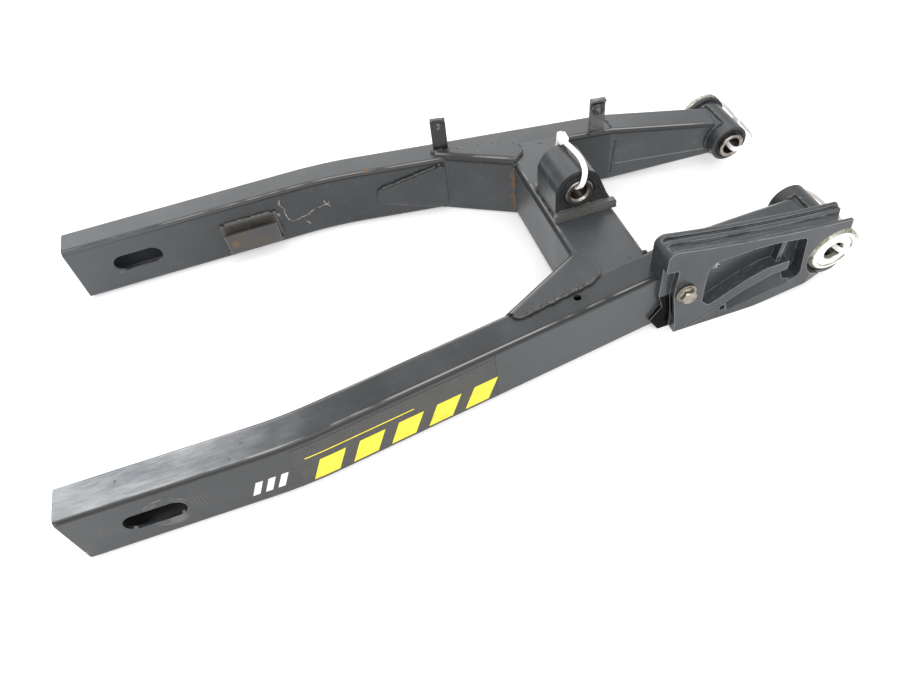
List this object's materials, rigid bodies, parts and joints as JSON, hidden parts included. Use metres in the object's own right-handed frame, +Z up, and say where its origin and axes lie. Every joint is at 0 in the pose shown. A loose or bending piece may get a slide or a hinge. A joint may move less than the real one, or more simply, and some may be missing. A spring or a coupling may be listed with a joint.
{
  "type": "motorcycle swingarm",
  "caption": "Rear swingarm of a small off-road motorcycle: painted steel box arms, needle-bearing pivots, a linkage boss and a chain slider.",
  "frame": {"origin": "middle of the pivot bolt's axis, on the line that the motorcycle's centre plane crosses", "axes": "+X along the arm towards the pivot, the front of the motorcycle; +Y along the pivot bolt towards the brake side; +Z up as the arm lies, which is the side that faces down on the motorcycle"},
  "size_m": [0.5455, 0.2566, 0.0894],
  "materials": {
    "left_arm_paint": "satin black paint, worn",
    "right_arm_paint": "satin black paint, worn",
    "cross_paint": "satin black paint",
    "gusset_paint": "satin black paint",
    "section_paint": "satin black paint",
    "pivot_paint": "satin black paint, scuffed",
    "link_paint": "satin black paint",
    "link_face_paint": "dark paint in a recess",
    "strip_paint": "rubbed thin paint",
    "rail_paint": "worn paint with rust",
    "rear_guide_paint": "thick dark paint",
    "front_guide_metal": "paint rubbed down to steel",
    "nut_metal": "dull steel",
    "slider_plastic": "scuffed black moulding",
    "seal_rubber": "matt black",
    "cap_zinc": "zinc plated, scratched",
    "sleeve_steel": "ground, oily",
    "bearing_steel": "ground",
    "bolt_zinc": "yellowish zinc plate"
  },
  "bodies": {
    "arm": {"left_arm": "left_arm_paint", "right_arm": "right_arm_paint", "cross_tube": "cross_paint", "left_front_section": "section_paint", "right_front_section": "section_paint", "left_gusset": "gusset_paint", "right_gusset": "gusset_paint", "right_gusset_tongue": "gusset_paint", "left_pivot_tube": "pivot_paint", "right_pivot_tube": "pivot_paint", "left_needle_cup": "bearing_steel", "right_needle_cup": "bearing_steel", "link_needle_cup": "bearing_steel", "left_rollers": "bearing_steel", "right_rollers": "bearing_steel", "link_rollers": "bearing_steel", "left_inner_seal": "seal_rubber", "right_inner_seal": "seal_rubber", "link_seals": "seal_rubber", "left_dust_seal": "seal_rubber", "right_dust_seal": "seal_rubber", "link_saddle": "link_paint", "link_bearing_tube": "link_face_paint", "link_end_plates": "link_face_paint", "link_foot_strips": "strip_paint", "rear_hose_guide": "rear_guide_paint", "front_hose_guide": "front_guide_metal", "hose_guide_nuts": "nut_metal", "caliper_rail": "rail_paint", "chain_slider": "slider_plastic", "slider_washer": "bolt_zinc", "slider_bolt": "bolt_zinc", "slider_nut": "nut_metal"},
    "left_sleeve_body": {"left_pivot_sleeve": "sleeve_steel", "left_pivot_cap": "cap_zinc"},
    "right_sleeve_body": {"right_pivot_sleeve": "sleeve_steel", "right_pivot_cap": "cap_zinc"},
    "link_sleeve_body": {"link_sleeve": "sleeve_steel"}
  },
  "joints": [
    {"name": "left_sleeve_spin", "type": "hinge", "parent": "arm", "child": "left_sleeve_body", "pos_m": [0, -0.064, 0], "axis": [0, 1, 0], "continuous": true},
    {"name": "right_sleeve_spin", "type": "hinge", "parent": "arm", "child": "right_sleeve_body", "pos_m": [0, 0.058, 0], "axis": [0, 1, 0], "continuous": true},
    {"name": "link_sleeve_spin", "type": "hinge", "parent": "arm", "child": "link_sleeve_body", "pos_m": [-0.158, 0.0035, 0.046], "axis": [0, 1, 0], "continuous": true}
  ]
}
